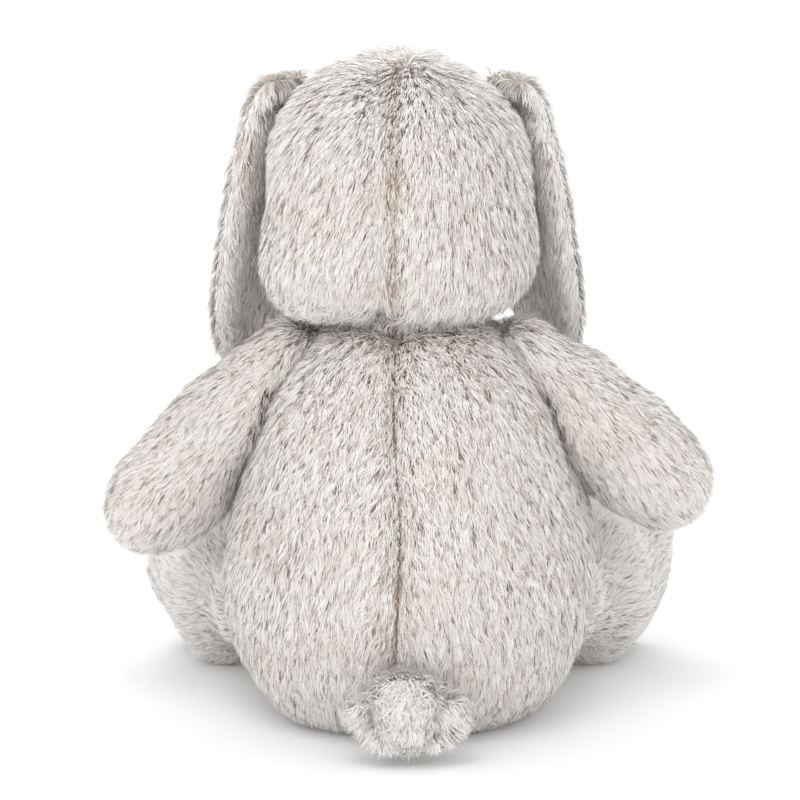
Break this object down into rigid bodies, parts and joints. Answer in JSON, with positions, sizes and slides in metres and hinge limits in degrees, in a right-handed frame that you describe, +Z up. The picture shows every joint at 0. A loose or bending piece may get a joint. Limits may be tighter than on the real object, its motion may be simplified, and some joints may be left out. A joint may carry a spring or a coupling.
{
  "type": "stuffed toy rabbit",
  "caption": "Seated plush toy rabbit with lop ears, jointed head, arms, legs and tail, padded and covered in short grey pile.",
  "frame": {"origin": "on the surface that the rabbit sits on, below the middle of its torso, at the centre of the flat of its seat", "axes": "+Z up, -Y the way the rabbit looks, +X its left side"},
  "size_m": [0.346, 0.296, 0.374],
  "materials": {
    "grey_plush": "soft short pile, mottled pale grey with taupe roots",
    "tail_plush": "soft short pile, near white",
    "ear_lining": "soft short pile, pale",
    "sole_velour": "clipped velour",
    "nose_velour": "clipped velour, dusty pink-brown",
    "mouth_thread": "twisted embroidery thread",
    "eye_plastic": "polished, near black",
    "washer_plastic": "moulded, off white",
    "fibre_filling": "loose white polyester fibre",
    "pouch_cloth": "closely woven cotton"
  },
  "bodies": {
    "torso": {"back_panel_left": "grey_plush", "back_panel_right": "grey_plush", "belly_panel": "grey_plush", "seat_panel": "grey_plush", "torso_filling": "fibre_filling", "weight_pouch": "pouch_cloth"},
    "neck": {"neck_filling": "fibre_filling"},
    "head": {"head_panel_left": "grey_plush", "head_panel_right": "grey_plush", "head_gusset": "grey_plush", "muzzle_panel": "grey_plush", "head_filling": "fibre_filling", "nose_pad": "nose_velour", "mouth_stitches": "mouth_thread", "eye_left": "eye_plastic", "eye_right": "eye_plastic", "eye_washer_left": "washer_plastic", "eye_washer_right": "washer_plastic"},
    "ear_left": {"ear_left_outer": "grey_plush", "ear_left_inner": "ear_lining"},
    "ear_right": {"ear_right_outer": "grey_plush", "ear_right_inner": "ear_lining"},
    "arm_left": {"arm_left_upper_panel": "grey_plush", "arm_left_lower_panel": "grey_plush", "arm_left_filling": "fibre_filling"},
    "arm_right": {"arm_right_upper_panel": "grey_plush", "arm_right_lower_panel": "grey_plush", "arm_right_filling": "fibre_filling"},
    "leg_left": {"leg_left_outer_panel": "grey_plush", "leg_left_inner_panel": "grey_plush", "leg_left_sole_pad": "sole_velour", "leg_left_filling": "fibre_filling"},
    "leg_right": {"leg_right_outer_panel": "grey_plush", "leg_right_inner_panel": "grey_plush", "leg_right_sole_pad": "sole_velour", "leg_right_filling": "fibre_filling"},
    "tail": {"tail_cover": "tail_plush", "tail_filling": "fibre_filling"}
  },
  "joints": [
    {"name": "head_turn", "type": "hinge", "parent": "torso", "child": "neck", "pos_m": [0, 0, 0.2], "axis": [0, 0, 1], "range_deg": [-15, 15], "stiffness_Nm_per_rad": 1.5},
    {"name": "head_nod", "type": "hinge", "parent": "neck", "child": "head", "pos_m": [0, 0, 0.2], "axis": [1, 0, 0], "range_deg": [-10, 10], "stiffness_Nm_per_rad": 4},
    {"name": "ear_left_lift", "type": "hinge", "parent": "head", "child": "ear_left", "pos_m": [0.05706, -0.02254, 0.354], "axis": [-0.5, -0.866, 0], "range_deg": [0, 90]},
    {"name": "ear_right_lift", "type": "hinge", "parent": "head", "child": "ear_right", "pos_m": [-0.05706, -0.02254, 0.354], "axis": [-0.5, 0.866, 0], "range_deg": [0, 90]},
    {"name": "arm_left_lift", "type": "hinge", "parent": "torso", "child": "arm_left", "pos_m": [0.06312, 0, 0.203], "axis": [-0.0698, -0.9976, 0], "range_deg": [0, 40]},
    {"name": "arm_right_lift", "type": "hinge", "parent": "torso", "child": "arm_right", "pos_m": [-0.06312, 0, 0.203], "axis": [-0.0698, 0.9976, 0], "range_deg": [0, 40]},
    {"name": "leg_left_lift", "type": "hinge", "parent": "torso", "child": "leg_left", "pos_m": [0.07844, -0.06128, 0.0495], "axis": [-0.891, -0.454, 0], "range_deg": [0, 22]},
    {"name": "leg_right_lift", "type": "hinge", "parent": "torso", "child": "leg_right", "pos_m": [-0.07844, -0.06128, 0.0495], "axis": [-0.891, 0.454, 0], "range_deg": [0, 22]},
    {"name": "tail_lift", "type": "hinge", "parent": "torso", "child": "tail", "pos_m": [0, 0.10122, 0.038], "axis": [1, 0, 0], "range_deg": [0, 14]}
  ]
}
